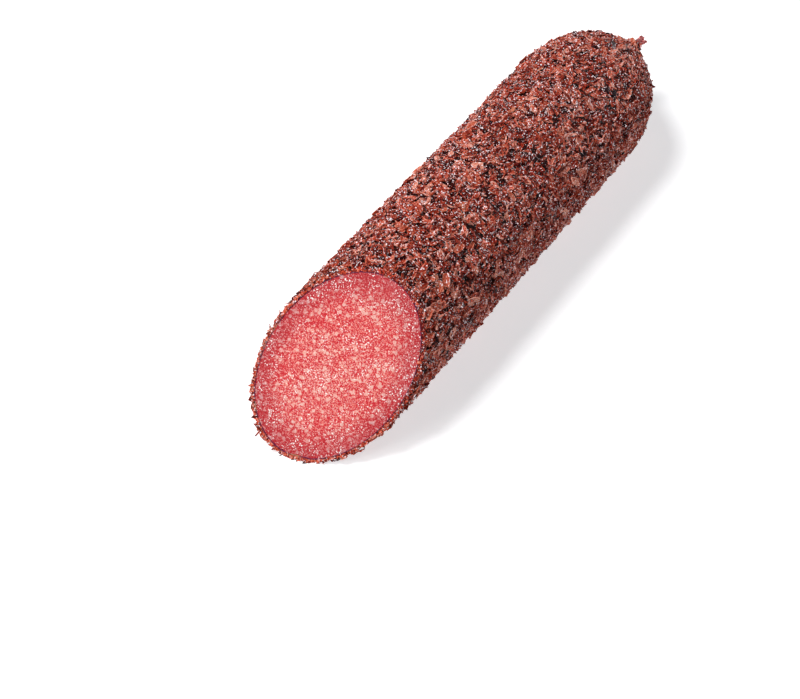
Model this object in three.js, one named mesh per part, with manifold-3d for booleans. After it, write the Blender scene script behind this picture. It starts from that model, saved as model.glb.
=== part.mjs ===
// A cured sausage: a log of fine-grained salami in a thin casing, rolled in a crust of dried onion and
// pepper flakes, cut on the bias at one end and gathered to a small tail at the other.
// Millimetres, +Z up. It lies along Y with the cut end towards -Y, on an underside that lying has flattened.
import * as THREE from "three";
import { mergeVertices } from "three/addons/utils/BufferGeometryUtils.js";
import Module from "manifold-3d";

// Driving dimensions of the log
const COAT_RADIUS = 40;
const AXIS_LENGTH = 300; // from where the cut plane crosses the axis to the far end of the dome
const REST_DEPTH = 0.5; // how deep the flat of the underside goes into the round section
const DOME_LENGTH = 62;
const DOME_SHOULDER = 2.27; // the higher, the longer the dome keeps its full width
const DOME_POINT = 1.2; // 2 would be a round end, 1 a pointed one

// The neck, where the casing is gathered at the tip of the dome
const NECK_ROOT = 4.6; // where it leaves the dome, before the dome's far end
const NECK_REACH = 7; // how far it stands past the dome's far end
const NECK_RADIUS = 4.4;
const NECK_SPREAD = 4.3; // how much wider it is at its root
const NECK_FLARE = 1.6; // the higher, the quicker it narrows
const NECK_END = AXIS_LENGTH + NECK_REACH;

// The layers, from the outside in
const COAT_THICKNESS = 1.0;
const CASING_THICKNESS = 0.3;
const LAYER_GAP = 0.3;
const CASING_DEPTH = COAT_THICKNESS + LAYER_GAP;
const MEAT_DEPTH = CASING_DEPTH + CASING_THICKNESS + LAYER_GAP;

// The cut face
const CUT_TILT = THREE.MathUtils.degToRad(42.2); // how far the face looks up
const CUT_TURN = THREE.MathUtils.degToRad(17.2); // how far it is turned from -Y towards +X
const CUT_NORMAL = new THREE.Vector3(
  Math.sin(CUT_TURN) * Math.cos(CUT_TILT),
  -Math.cos(CUT_TURN) * Math.cos(CUT_TILT),
  Math.sin(CUT_TILT),
);

// The frayed tail of the casing
const TAIL_RADIUS = 2.5;
const TAIL_REACH = 7; // how far it stands out of the neck
const TAIL_ROOT = 3; // how far it goes into the neck
const TAIL_PLEATS = 7;
const PLEAT_DEPTH = 0.3; // as a share of the tail's radius
const TAIL_FLARE = 0.35; // how much wider its frayed end is
const TAIL_TWIST = 0.6; // radians from root to end

// The largest flakes that stand on the crust
const FLAKE_COUNT = 44;
const FLAKE_LENGTH = [5.5, 9];
const FLAKE_SLIMNESS = [0.42, 0.7]; // width as a share of length
const FLAKE_THICKNESS = 0.6;
const FLAKE_CORNERS = 8;
const FLAKE_RAGGEDNESS = 0.22;
const FLAKE_CURL = [0.2, 1.1]; // how far the tips lift off the crust
const FLAKE_SPREAD = THREE.MathUtils.degToRad(125); // each way from the top, clear of the underside
const FLAKE_SCATTER = 0.05; // how uneven their places round the log are, as a share of the spread
const EDGE_MARGIN = 9; // clear of the cut edge
const TIP_MARGIN = 24; // clear of the tail
const GOLDEN_SHARE = 0.618034;
const SEED = 71;

// Facets
const SIDES = 48;
const DOME_STEPS = 12;
const NECK_STEPS = 3;
const NECK_SIDES = 24;
const TAIL_STEPS = 3;
const SLOPE_REACH = 0.5; // how far each way along the log its slope is measured
const MERGE_DISTANCE = 1e-4; // corners nearer than this are one corner
const OVERRUN = 60; // how far a body runs past the cut before it is cut off

const FINISHES = {
  meat: { color: 0xcf5660, roughness: 0.5 },
  casing: { color: 0x5e2230, roughness: 0.35 },
  coat: { color: 0x6e3128, roughness: 0.75 },
  tail: { color: 0x8a3a34, roughness: 0.6 },
  flakes: [
    { color: 0x9a4a38, roughness: 0.6 },
    { color: 0xb9765a, roughness: 0.6 },
    { color: 0x7c352b, roughness: 0.6 },
    { color: 0x2c1816, roughness: 0.7 },
  ],
};

const wasm = await Module();
wasm.setup();

// Solids and geometries

function toSolid(geometry) {
  const bare = geometry.clone();
  bare.deleteAttribute("normal");
  bare.deleteAttribute("uv");
  const merged = mergeVertices(bare, MERGE_DISTANCE);
  return new wasm.Manifold(
    new wasm.Mesh({
      numProp: 3,
      vertProperties: new Float32Array(merged.attributes.position.array),
      triVerts: new Uint32Array(merged.index.array),
    }),
  );
}

function toGeometry(solid) {
  const mesh = solid.getMesh();
  const geometry = new THREE.BufferGeometry();
  geometry.setAttribute("position", new THREE.BufferAttribute(mesh.vertProperties, 3));
  geometry.setIndex(new THREE.BufferAttribute(mesh.triVerts, 1));
  geometry.computeVertexNormals();
  return geometry;
}

function makeMesh(name, geometry, finish) {
  const mesh = new THREE.Mesh(geometry, new THREE.MeshStandardMaterial({ ...finish, metalness: 0 }));
  mesh.name = name;
  return mesh;
}

// The log's surface, depth millimetres under the outside of the crust

function domeWidth(share) {
  return Math.pow(1 - Math.pow(share, DOME_SHOULDER), 1 / DOME_POINT);
}

function logProfile(depth) {
  const radius = COAT_RADIUS - depth;
  const shoulder = AXIS_LENGTH - DOME_LENGTH;
  const profile = [new THREE.Vector2(0, -OVERRUN), new THREE.Vector2(radius, -OVERRUN)];
  for (let step = 0; step < DOME_STEPS; step++) {
    const share = Math.sin((step / DOME_STEPS) * (Math.PI / 2));
    profile.push(new THREE.Vector2(radius * domeWidth(share), shoulder + share * (DOME_LENGTH - depth)));
  }
  profile.push(new THREE.Vector2(0, AXIS_LENGTH - depth));
  return profile;
}

// From the axis inside the dome, out along the neck and back to the axis at its end
function neckProfile(depth) {
  const root = AXIS_LENGTH - NECK_ROOT - depth;
  const profile = [new THREE.Vector2(0, root)];
  for (let step = 0; step <= NECK_STEPS; step++) {
    const share = step / NECK_STEPS;
    const radius = NECK_RADIUS - depth + NECK_SPREAD * Math.pow(1 - share, NECK_FLARE);
    profile.push(new THREE.Vector2(radius, THREE.MathUtils.lerp(root, NECK_END - depth, share)));
  }
  profile.push(new THREE.Vector2(0, NECK_END - depth));
  return profile;
}

// The block of space on the outer side of a plane
function beyondPlane(point, normal) {
  const size = 2 * (AXIS_LENGTH + OVERRUN);
  const block = new THREE.BoxGeometry(size, size, size);
  block.applyQuaternion(new THREE.Quaternion().setFromUnitVectors(new THREE.Vector3(0, 1, 0), normal));
  const centre = point.clone().addScaledVector(normal, size / 2);
  return toSolid(block.translate(centre.x, centre.y, centre.z));
}

function beyondCut() {
  return beyondPlane(new THREE.Vector3(0, 0, 0), CUT_NORMAL);
}

// The log as far in as depth: round, flattened underneath and domed, but with no neck and not cut yet
function logBody(depth) {
  const turned = toSolid(new THREE.LatheGeometry(logProfile(depth), SIDES));
  const floor = new THREE.Vector3(0, 0, REST_DEPTH + depth - COAT_RADIUS);
  return turned.subtract(beyondPlane(floor, new THREE.Vector3(0, 0, -1)));
}

function neckedBody(depth) {
  return logBody(depth).add(toSolid(new THREE.LatheGeometry(neckProfile(depth), NECK_SIDES)));
}

// A pleated stub along +Y, wider and twisted at its outer end
function pleatedStub(radius) {
  const outline = new THREE.Shape();
  const corners = 2 * TAIL_PLEATS;
  for (let i = 0; i < corners; i++) {
    const turn = (i / corners) * 2 * Math.PI;
    const reach = radius * (i % 2 ? 1 - PLEAT_DEPTH : 1);
    if (i === 0) outline.moveTo(reach * Math.cos(turn), reach * Math.sin(turn));
    else outline.lineTo(reach * Math.cos(turn), reach * Math.sin(turn));
  }
  outline.closePath();
  const length = TAIL_ROOT + TAIL_REACH;
  const stub = new THREE.ExtrudeGeometry(outline, { depth: length, steps: TAIL_STEPS, bevelEnabled: false });
  const position = stub.getAttribute("position");
  const point = new THREE.Vector3();
  for (let i = 0; i < position.count; i++) {
    point.fromBufferAttribute(position, i);
    const outwards = Math.max(0, (point.z - TAIL_ROOT) / TAIL_REACH);
    point.applyAxisAngle(new THREE.Vector3(0, 0, 1), TAIL_TWIST * outwards);
    const spread = 1 + TAIL_FLARE * outwards;
    position.setXYZ(i, point.x * spread, point.y * spread, point.z);
  }
  stub.rotateX(-Math.PI / 2);
  return toSolid(stub.translate(0, NECK_END - TAIL_ROOT, 0));
}

function tailHole() {
  const length = TAIL_ROOT + TAIL_REACH;
  const radius = TAIL_RADIUS + LAYER_GAP;
  const hole = new THREE.CylinderGeometry(radius, radius, length, NECK_SIDES);
  return toSolid(hole.translate(0, NECK_END - TAIL_ROOT + length / 2, 0));
}

// The layers

function makeMeat() {
  return makeMesh("cured_meat", toGeometry(logBody(MEAT_DEPTH).subtract(beyondCut())), FINISHES.meat);
}

function makeCasing() {
  const outside = neckedBody(CASING_DEPTH).add(pleatedStub(TAIL_RADIUS));
  const film = outside.subtract(logBody(CASING_DEPTH + CASING_THICKNESS)).subtract(beyondCut());
  return makeMesh("casing", toGeometry(film), FINISHES.casing);
}

function makeCoat() {
  const crust = neckedBody(0).subtract(neckedBody(COAT_THICKNESS)).subtract(tailHole()).subtract(beyondCut());
  return makeMesh("flake_coat", toGeometry(crust), FINISHES.coat);
}

// The largest flakes

function makeRandom(seed) {
  let state = seed;
  return () => {
    state = (state * 1664525 + 1013904223) % 4294967296;
    return state / 4294967296;
  };
}

// The point over the crust at y along the log, angle round it from the top towards +X, and lift above it
function overCrust(y, angle, lift) {
  const radiusAt = (along) => {
    const share = THREE.MathUtils.clamp((along - (AXIS_LENGTH - DOME_LENGTH)) / DOME_LENGTH, 0, 1);
    return COAT_RADIUS * domeWidth(share);
  };
  const fall = radiusAt(y - SLOPE_REACH) - radiusAt(y + SLOPE_REACH);
  const slope = Math.atan(fall / (2 * SLOPE_REACH));
  const radius = radiusAt(y) + lift * Math.cos(slope);
  return new THREE.Vector3(
    radius * Math.sin(angle),
    y + lift * Math.sin(slope),
    radius * Math.cos(angle),
  );
}

// Where the cut leaves the crust at an angle round the log
function cutEdge(angle) {
  const acrossCut = CUT_NORMAL.x * Math.sin(angle) + CUT_NORMAL.z * Math.cos(angle);
  return (COAT_RADIUS * acrossCut) / -CUT_NORMAL.y;
}

function raggedOutline(length, width, random) {
  const outline = new THREE.Shape();
  for (let i = 0; i < FLAKE_CORNERS; i++) {
    const turn = (i / FLAKE_CORNERS) * 2 * Math.PI;
    const reach = 1 + FLAKE_RAGGEDNESS * (2 * random() - 1);
    const x = (length / 2) * reach * Math.cos(turn);
    const y = (width / 2) * reach * Math.sin(turn);
    if (i === 0) outline.moveTo(x, y);
    else outline.lineTo(x, y);
  }
  outline.closePath();
  return outline;
}

function makeFlake(index, random) {
  const pick = ([low, high]) => THREE.MathUtils.lerp(low, high, random());
  const length = pick(FLAKE_LENGTH);
  const outline = raggedOutline(length, length * pick(FLAKE_SLIMNESS), random);
  const plate = new THREE.ExtrudeGeometry(outline, { depth: FLAKE_THICKNESS, bevelEnabled: false });
  const curl = pick(FLAKE_CURL);
  const heading = random() * Math.PI;
  const angle = FLAKE_SPREAD * (2 * ((index * GOLDEN_SHARE + random() * FLAKE_SCATTER) % 1) - 1);
  const start = cutEdge(angle) + EDGE_MARGIN;
  const share = (index + 0.5) / FLAKE_COUNT;
  const along = THREE.MathUtils.lerp(start, AXIS_LENGTH - TIP_MARGIN, share);
  const around = COAT_RADIUS * domeWidth(Math.max(0, 1 - (AXIS_LENGTH - along) / DOME_LENGTH));
  const position = plate.getAttribute("position");
  const point = new THREE.Vector3();
  for (let i = 0; i < position.count; i++) {
    point.fromBufferAttribute(position, i);
    const lift = LAYER_GAP + point.z + curl * Math.pow((2 * point.x) / length, 2);
    const forward = point.x * Math.cos(heading) - point.y * Math.sin(heading);
    const sideways = point.x * Math.sin(heading) + point.y * Math.cos(heading);
    const placed = overCrust(along + forward, angle - sideways / around, lift);
    position.setXYZ(i, placed.x, placed.y, placed.z);
  }
  const name = "large_flake_" + String(index + 1).padStart(2, "0");
  return makeMesh(name, toGeometry(toSolid(plate)), FINISHES.flakes[index % FINISHES.flakes.length]);
}

// The whole sausage, with its origin under the middle of its box

function makeSausage() {
  const sausage = new THREE.Group();
  sausage.add(makeMeat(), makeCasing(), makeCoat());
  const random = makeRandom(SEED);
  for (let index = 0; index < FLAKE_COUNT; index++) sausage.add(makeFlake(index, random));
  const box = new THREE.Box3().setFromObject(sausage);
  const middle = box.getCenter(new THREE.Vector3());
  sausage.position.set(-middle.x, -middle.y, -box.min.z);
  return sausage;
}

export default makeSausage();
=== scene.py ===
"""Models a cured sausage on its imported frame: the cut meat, its casing and tail, and a crust of flakes."""

import math
from contextlib import contextmanager

import bpy
import numpy as np
from bpy.props import FloatProperty, FloatVectorProperty, IntProperty, PointerProperty
from bpy.types import Operator, Panel, PropertyGroup, Scene
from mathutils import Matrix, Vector, noise


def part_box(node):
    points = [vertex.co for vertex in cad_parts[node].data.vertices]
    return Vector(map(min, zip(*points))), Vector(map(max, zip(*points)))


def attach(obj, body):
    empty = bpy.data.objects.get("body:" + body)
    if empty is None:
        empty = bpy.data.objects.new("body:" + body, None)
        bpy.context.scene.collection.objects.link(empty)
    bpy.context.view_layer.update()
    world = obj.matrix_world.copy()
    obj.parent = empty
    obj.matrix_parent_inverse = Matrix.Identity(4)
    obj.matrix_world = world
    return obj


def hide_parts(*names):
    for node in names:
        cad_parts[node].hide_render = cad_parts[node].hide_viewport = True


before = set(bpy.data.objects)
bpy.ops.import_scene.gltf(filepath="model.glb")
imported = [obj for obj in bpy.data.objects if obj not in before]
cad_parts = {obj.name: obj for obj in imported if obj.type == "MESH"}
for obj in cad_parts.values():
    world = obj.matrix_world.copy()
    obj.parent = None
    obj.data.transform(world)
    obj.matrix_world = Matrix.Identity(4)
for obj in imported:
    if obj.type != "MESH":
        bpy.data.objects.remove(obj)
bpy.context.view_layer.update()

bl_info = {
    "name": "Crusted Sausage",
    "version": (1, 0, 0),
    "blender": (4, 5, 0),
    "location": "View3D > Sidebar > Sausage",
    "description": "Models a cut salami log in a crust of dried onion and pepper flakes",
    "category": "Add Mesh",
}

BODY = "root"
MM = 0.001
# Points nearer to each other, or to the cut plane, than this are taken to touch
TOUCH = 0.01 * MM

# The log's place and layers, from the frame
MEAT_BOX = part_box("cured_meat")
CRUST_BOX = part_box("flake_coat")
CASING_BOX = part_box("casing")
AXIS_X = (CRUST_BOX[0].x + CRUST_BOX[1].x) / 2
CRUST_RADIUS = (CRUST_BOX[1].x - CRUST_BOX[0].x) / 2
AXIS_Z = CRUST_BOX[1].z - CRUST_RADIUS
MEAT_DEPTH = CRUST_RADIUS - (MEAT_BOX[1].x - MEAT_BOX[0].x) / 2
DOME_END_Y = MEAT_BOX[1].y + MEAT_DEPTH
NECK_END_Y = CRUST_BOX[1].y
TAIL_END_Y = CASING_BOX[1].y
LARGE_FLAKES = sorted(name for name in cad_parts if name.startswith("large_flake"))
FLAKE_SLOTS = ("flake_red", "flake_tan", "flake_brown", "flake_dark")
# Where painted shade makes the cut edge darkest, from the top towards +X
RIM_PAINTED_SHADE_ANGLE = math.radians(50)

# The crust's own lumps and hollows: how many fit in a radius, how high they are, and how much lighter the
# flakes on the lumps and darker those in the hollows are painted, as painted light and shade
LUMPS_PER_RADIUS = 7.0
LUMP_HEIGHT = 0.8 * MM
LUMP_PAINTED_LIGHT = 0.1

# Flake tips are pressed towards the crust by this share of their height over this height
PRESSED = 0.5
PRESSED_OVER = 2.2 * MM

# Colours that several kinds of flake share
DARK = (0.016, 0.001, 0.002)
# Near-black dots painted as the shade in pits
PIT_PAINTED_SHADE = (0.009, 0.0008, 0.0015)
PALE = (0.66, 0.30, 0.23)
# Pale lilac specks painted as glints
PAINTED_GLINT_COLOUR = (0.97, 0.86, 0.90)

# For each kind of flake: its dark, middle and light colours, and the share of it that has dark dots of
# painted pit shade, with somewhat fewer pale dots of painted glint
FLAKE_COLOURS = {
    "crumbs": (DARK, (0.11, 0.004, 0.003), (0.31, 0.024, 0.012), 0.28),
    "chips": (DARK, (0.22, 0.011, 0.005), (0.53, 0.078, 0.036), 0.24),
    "plates": ((0.16, 0.010, 0.005), (0.40, 0.055, 0.024), (0.56, 0.170, 0.105), 0.10),
    "shreds": (DARK, (0.27, 0.018, 0.008), (0.56, 0.104, 0.052), 0.18),
    "rim_flakes": ((0.11, 0.006, 0.006), (0.52, 0.040, 0.016), (0.74, 0.150, 0.075), 0.12),
    "large_flake_red": ((0.10, 0.008, 0.004), (0.36, 0.038, 0.014), (0.54, 0.130, 0.070), 0.14),
    "large_flake_tan": ((0.26, 0.050, 0.025), (0.48, 0.140, 0.075), (0.62, 0.290, 0.200), 0.12),
    "large_flake_brown": ((0.06, 0.007, 0.003), (0.20, 0.024, 0.010), (0.34, 0.075, 0.040), 0.16),
    "large_flake_dark": ((0.004, 0.001, 0.002), (0.010, 0.002, 0.005), (0.030, 0.006, 0.010), 0.03),
}

# For each scattered kind: its mean tone, the spread of its tones, and changes to some shares of it
FLAKE_TONES = {
    "crumbs": (0.38, 0.17, ()),
    "chips": (0.43, 0.17, ((0.18, 0.34), (0.02, -0.5))),
    "plates": (0.56, 0.22, ()),
    "shreds": (0.44, 0.18, ((0.22, 0.36),)),
}

# How each kind is laid. Width and thickness are shares of the form's own. A higher skew leaves fewer long
# flakes. Tilt and roll have a usual spread, a wide one, and the share of flakes that have the wide one.
CRUMB_LAY = {
    "length": (0.7 * MM, 1.9 * MM),
    "skew": 1.7,
    "width": (0.45, 0.95),
    "thick": (0.35, 0.75),
    "tilt": (0.6, 0.6, 0),
    "roll": (0.6, 0.6, 0),
    "lift": (-1.3 * MM, 0.0),
    "overhang": (-0.2 * MM, 0.4 * MM),
}
FLAKE_LAYS = {
    "crumbs": CRUMB_LAY,
    "chips": {
        "length": (1.6 * MM, 7.4 * MM),
        "skew": 2.1,
        "width": (0.28, 0.60),
        "thick": (0.7, 1.5),
        "tilt": (0.22, 0.5, 0.12),
        "roll": (0.30, 0.9, 0.16),
        "lift": (-0.7 * MM, 0.5 * MM),
        "overhang": (-0.2 * MM, 0.5 * MM),
    },
    "plates": {
        "length": (3.2 * MM, 8.0 * MM),
        "skew": 1.6,
        "width": (0.30, 0.75),
        "thick": (0.5, 1.0),
        "tilt": (0.08, 0.25, 0.2),
        "roll": (0.12, 0.45, 0.25),
        "lift": (0.1 * MM, 0.7 * MM),
        "overhang": (-0.2 * MM, 0.2 * MM),
    },
    "shreds": {
        "length": (2.8 * MM, 10.0 * MM),
        "skew": 1.6,
        "width": (0.40, 1.0),
        "thick": (0.5, 1.2),
        "tilt": (0.08, 0.22, 0.2),
        "roll": (0.35, 0.9, 0.25),
        "lift": (-0.3 * MM, 0.7 * MM),
        "overhang": (-0.2 * MM, 0.5 * MM),
    },
    "rim_flakes": {
        **CRUMB_LAY,
        "length": (0.6 * MM, 2.4 * MM),
        "lift": (-0.1 * MM, 0.1 * MM),
        "overhang": (0.0, 0.7 * MM),
    },
}

# The tail's rings: their step along it and then sideways and up, in millimetres, and their growth
TAIL_RINGS = (
    (2.2, 0, 1.0),
    (1.4, 0.1, 0.95),
    (1.3, 0.3, 0.72),
    (1.3, 0.5, 0.80),
    (1.2, 0.8, 1.15),
    (1.1, 1.0, 1.25),
)

# Each light's direction from the sausage, its watts and whether it casts shadows
LIGHTS = {
    "key": ((-0.37, -0.20, 0.90), 60, True),
    "front_light": ((-0.30, -0.75, 0.50), 23, True),
    "side_light": ((-0.90, 0.0, 0.42), 12, False),
    "back_light": ((0.25, 0.93, 0.28), 26, False),
}
LIGHT_SIZE = 1.0
# How strongly the white walls light the sausage, and how bright they look
WALL_LIGHT = 0.04
WALL_BRIGHTNESS = 0.75


# Sizes, counts and colours


class LogSizes(PropertyGroup):
    """The shape of the whole log."""

    axis_length: FloatProperty(
        name="Axis length",
        description="From the middle of the cut to the dome's end",
        default=0.3,
        unit="LENGTH",
    )
    dome_length: FloatProperty(
        name="Dome length", description="How much of the far end is rounded", default=0.062, unit="LENGTH"
    )
    dome_shoulder: FloatProperty(
        name="Dome shoulder", description="Fullness of the dome's start", default=2.27
    )
    dome_point: FloatProperty(
        name="Dome point", description="2 is a round end and 1 a pointed one", default=1.2
    )
    neck_root: FloatProperty(
        name="Neck root",
        description="Where the neck leaves the dome, before its end",
        default=4.6 * MM,
        unit="LENGTH",
    )
    neck_radius: FloatProperty(
        name="Neck radius", description="Of the neck's outer end", default=4.4 * MM, unit="LENGTH"
    )
    neck_spread: FloatProperty(
        name="Neck spread",
        description="How much wider the neck is at its root",
        default=4.3 * MM,
        unit="LENGTH",
    )
    neck_flare: FloatProperty(
        name="Neck flare", description="The higher, the quicker it narrows", default=1.6
    )
    cut_tilt: FloatProperty(
        name="Cut tilt",
        description="How far the cut face looks up",
        default=math.radians(42.2),
        subtype="ANGLE",
        unit="ROTATION",
    )
    cut_turn: FloatProperty(
        name="Cut turn",
        description="How far the cut face is turned to +X",
        default=math.radians(17.2),
        subtype="ANGLE",
        unit="ROTATION",
    )


class MeatFinish(PropertyGroup):
    """The look of the cut meat."""

    lean: FloatVectorProperty(
        name="Lean",
        description="Colour of the lean meat",
        default=(0.68, 0.015, 0.030),
        size=3,
        subtype="COLOR",
    )
    fat: FloatVectorProperty(
        name="Fat",
        description="Colour of the fat in it",
        default=(0.77, 0.34, 0.285),
        size=3,
        subtype="COLOR",
    )
    deep: FloatVectorProperty(
        name="Deep",
        description="Colour of the darkest grains",
        default=(0.56, 0.001, 0.012),
        size=3,
        subtype="COLOR",
    )
    grain: FloatProperty(
        name="Grain size", description="Width of one grain", default=0.7 * MM, unit="LENGTH"
    )


class CrustFinish(PropertyGroup):
    """The flakes of the crust."""

    crumbs: IntProperty(name="Crumbs", description="How many small crumbs", default=33000)
    chips: IntProperty(name="Chips", description="How many flat chips", default=16000)
    plates: IntProperty(name="Plates", description="How many torn plates", default=1100)
    shreds: IntProperty(name="Shreds", description="How many long shreds", default=6400)
    rim_flakes: IntProperty(name="Rim flakes", description="How many bits fill the cut edge", default=2600)
    seed: IntProperty(name="Seed", description="Which of many random crusts", default=11, min=1)


class StageSetup(PropertyGroup):
    """The floor, the lights and the camera."""

    azimuth: FloatProperty(
        name="Azimuth",
        description="Camera's turn",
        default=math.radians(34.6),
        subtype="ANGLE",
        unit="ROTATION",
    )
    elevation: FloatProperty(
        name="Elevation",
        description="Camera's height",
        default=math.radians(49.8),
        subtype="ANGLE",
        unit="ROTATION",
    )
    distance: FloatProperty(
        name="Distance", description="Camera to the point it looks at", default=0.9424, unit="LENGTH"
    )
    lens: FloatProperty(name="Lens", description="Focal length in millimetres", default=81.3)
    light_distance: FloatProperty(
        name="Light distance", description="Lights to the point they look at", default=2.5, unit="LENGTH"
    )
    floor_width: FloatProperty(
        name="Floor width", description="Side of the floor", default=12.0, unit="LENGTH"
    )


def log():
    return bpy.context.scene.sausage_log


def cut_normal():
    tilt, turn = log().cut_tilt, log().cut_turn
    return Vector(
        (math.sin(turn) * math.cos(tilt), -math.cos(turn) * math.cos(tilt), math.sin(tilt))
    )


def cut_point():
    return Vector((AXIS_X, DOME_END_Y - log().axis_length, AXIS_Z))


# Modelling by operators


def pick(obj):
    bpy.ops.object.select_all(action="DESELECT")
    obj.select_set(True)
    bpy.context.view_layer.objects.active = obj


@contextmanager
def editing(obj, select="SELECT", mode="VERT"):
    """Edit mode with everything selected, or with the selection left as it is where select is None."""
    pick(obj)
    bpy.ops.object.mode_set(mode="EDIT")
    bpy.ops.mesh.select_mode(type=mode)
    if select:
        bpy.ops.mesh.select_all(action=select)
    yield
    bpy.ops.object.mode_set(mode="OBJECT")


def place_in_mesh(obj):
    pick(obj)
    bpy.ops.object.transform_apply(location=True, rotation=True, scale=True)


def new_object(name, vertices, edges=(), faces=()):
    mesh = bpy.data.meshes.new(name)
    mesh.from_pydata(vertices, edges, faces)
    obj = bpy.data.objects.new(name, mesh)
    bpy.context.scene.collection.objects.link(obj)
    return obj


def apply_modifier(obj, name, kind, **settings):
    modifier = obj.modifiers.new(name, kind)
    for setting, value in settings.items():
        setattr(modifier, setting, value)
    pick(obj)
    bpy.ops.object.modifier_apply(modifier=name)


def points_of(mesh):
    points = np.empty(len(mesh.vertices) * 3, np.float32)
    mesh.vertices.foreach_get("co", points)
    return points.reshape(-1, 3).astype(float)


def set_points(mesh, points):
    mesh.vertices.foreach_set("co", np.asarray(points, np.float32).ravel())
    mesh.update()


def select_points(obj, chosen):
    """Selects exactly the vertices of a true-or-false array, in object mode."""
    mesh = obj.data
    mesh.polygons.foreach_set("select", np.zeros(len(mesh.polygons), bool))
    mesh.edges.foreach_set("select", np.zeros(len(mesh.edges), bool))
    mesh.vertices.foreach_set("select", chosen)


def past_cut(points):
    """How far points are past the cut plane, on the open side."""
    return (points - np.array(cut_point())) @ np.array(cut_normal())


def rough(points, scale):
    """Noise at each point, from about -1 to 1."""
    return np.array([noise.noise(Vector(point) * scale) for point in points])


def crumpled(points, scale):
    """Each point's push by noise, up to about 1 along each axis."""
    # Without a seed, Blender starts this kind of noise by the clock
    noise.seed_set(bpy.context.scene.sausage_crust.seed)
    return np.array([noise.noise_vector(Vector(point) * scale) for point in points])


def set_value(mesh, name, values):
    """Stores a number for each point, which the material reads."""
    layer = mesh.attributes.new(name, "FLOAT", "POINT")
    layer.data.foreach_set("value", np.asarray(values, np.float32))


def finish_piece(obj, material, slot, *nodes):
    obj.data.materials.clear()
    obj.data.materials.append(material)
    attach(obj, BODY)
    if nodes:
        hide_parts(*nodes)


# The log's surface

# How far a body runs past the middle of the cut before it is cut off, in radii
OVERRUN = 1.6
# A step longer than the body gives it a single row
ONE_ROW = 1.0


def dome_width(share):
    return (1 - share ** log().dome_shoulder) ** (1 / log().dome_point)


def log_outline(depth, start_y, step, dome_steps, neck_steps=0):
    """Points (radius, y) of the log's outline from start_y to its far end.

    It lies depth under the crust's outside. The neck is left out where neck_steps is 0.
    """
    sizes = log()
    radius = CRUST_RADIUS - depth
    shoulder = DOME_END_Y - sizes.dome_length
    neck_start = DOME_END_Y - sizes.neck_root - depth
    rows = max(1, round((shoulder - start_y) / step))
    outline = [(radius, start_y + (shoulder - start_y) * row / rows) for row in range(rows)]
    for dome_step in range(dome_steps):
        share = math.sin(dome_step / dome_steps * math.pi / 2)
        y = shoulder + share * (sizes.dome_length - depth)
        if neck_steps and y >= neck_start:
            break
        outline.append((radius * dome_width(share), y))
    for neck_step in range(neck_steps + 1 if neck_steps else 0):
        share = neck_step / neck_steps
        width = sizes.neck_radius - depth + sizes.neck_spread * (1 - share) ** sizes.neck_flare
        outline.append((width, neck_start + share * (NECK_END_Y - depth - neck_start)))
    outline.append((0, (NECK_END_Y if neck_steps else DOME_END_Y) - depth))
    return outline


def spin_log(name, depth, step, dome_steps, sides, neck_steps=0):
    """The log spun from its outline, flattened underneath and open at its near end, past the cut."""
    start_y = cut_point().y - OVERRUN * CRUST_RADIUS
    outline = log_outline(depth, start_y, step, dome_steps, neck_steps)
    edges = [(i, i + 1) for i in range(len(outline) - 1)]
    obj = new_object(name, [(AXIS_X + radius, y, AXIS_Z) for radius, y in outline], edges)
    with editing(obj):
        bpy.ops.mesh.spin(
            steps=sides, angle=2 * math.pi, center=(AXIS_X, 0, AXIS_Z), axis=(0, 1, 0)
        )
        bpy.ops.mesh.select_all(action="SELECT")
        bpy.ops.mesh.remove_doubles(threshold=TOUCH)
        bpy.ops.mesh.normals_make_consistent(inside=False)
    points = points_of(obj.data)
    points[:, 2] = np.maximum(points[:, 2], depth)
    set_points(obj.data, points)
    return obj


def cut_off(obj, past=0.0, keep_outer=False):
    """Cuts the mesh by the cut plane, or by one that lies past it."""
    normal = cut_normal()
    with editing(obj):
        bpy.ops.mesh.bisect(
            plane_co=cut_point() + normal * past,
            plane_no=normal,
            clear_outer=not keep_outer,
            threshold=1e-6,
        )


def smooth(obj, angle=math.radians(50)):
    pick(obj)
    bpy.ops.object.shade_smooth_by_angle(angle=angle)


# Shaders


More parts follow.
